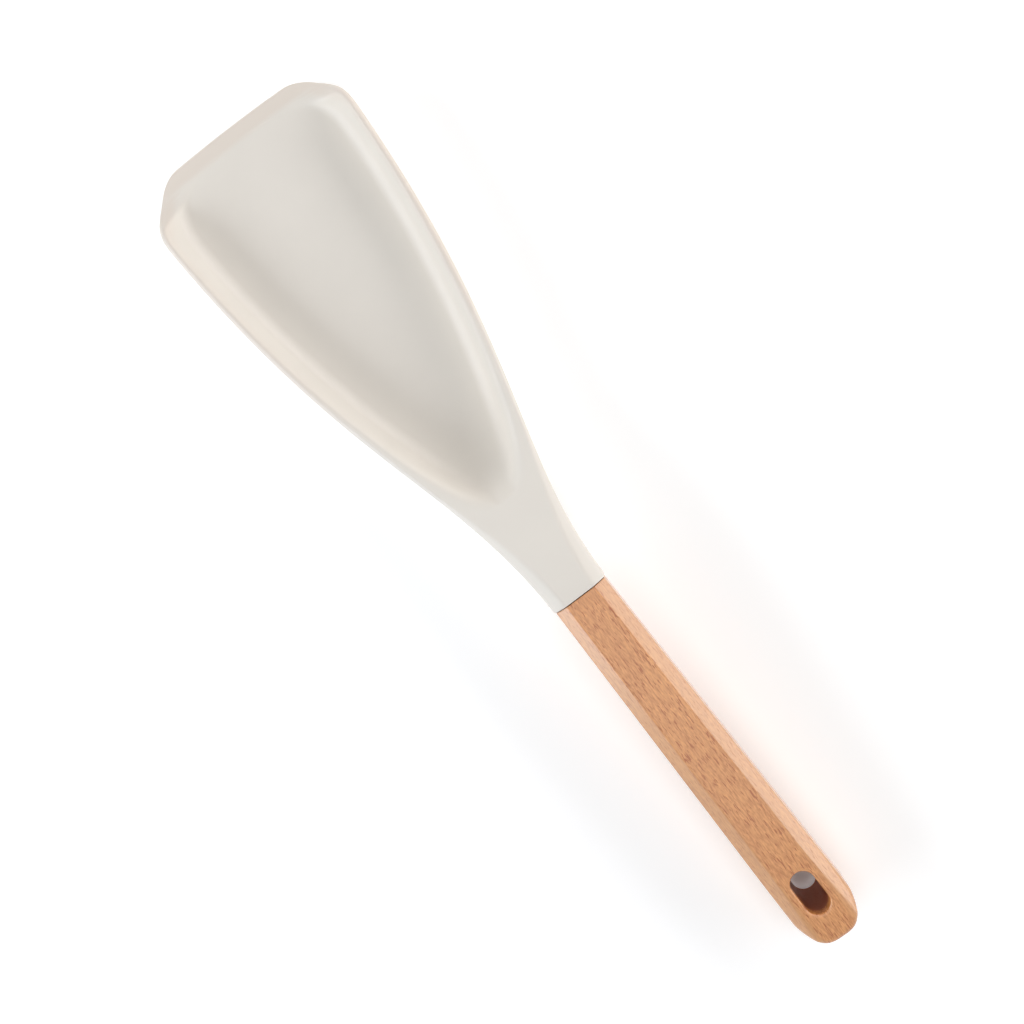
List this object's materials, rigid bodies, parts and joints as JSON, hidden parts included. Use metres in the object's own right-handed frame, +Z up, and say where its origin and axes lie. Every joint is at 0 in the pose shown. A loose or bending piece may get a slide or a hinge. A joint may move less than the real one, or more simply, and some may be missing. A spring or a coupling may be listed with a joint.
{
  "type": "silicone cooking spoon",
  "caption": "Scoop-shaped silicone cooking spoon with raised side walls and a wide front edge, on an eight-sided beech handle with a hanging slot.",
  "frame": {"origin": "on the table under the middle of the spoon's box, with the scoop's sole and the handle's end standing on z = 0", "axes": "+X along the spoon towards the scoop's front edge, +Y to its left, +Z up out of the scoop's hollow"},
  "size_m": [0.348, 0.082, 0.0275],
  "materials": {
    "silicone": "matte, off-white silicone with a soft satin sheen",
    "nylon": "moulded glass-filled nylon, dark grey, matte",
    "beech": "oiled beech with short dark flecks along the grain, satin",
    "epoxy": "set epoxy, pale amber"
  },
  "bodies": {
    "root": {"silicone_head": "silicone", "core_insert": "nylon", "beech_handle": "beech", "tang_adhesive": "epoxy"}
  },
  "joints": []
}
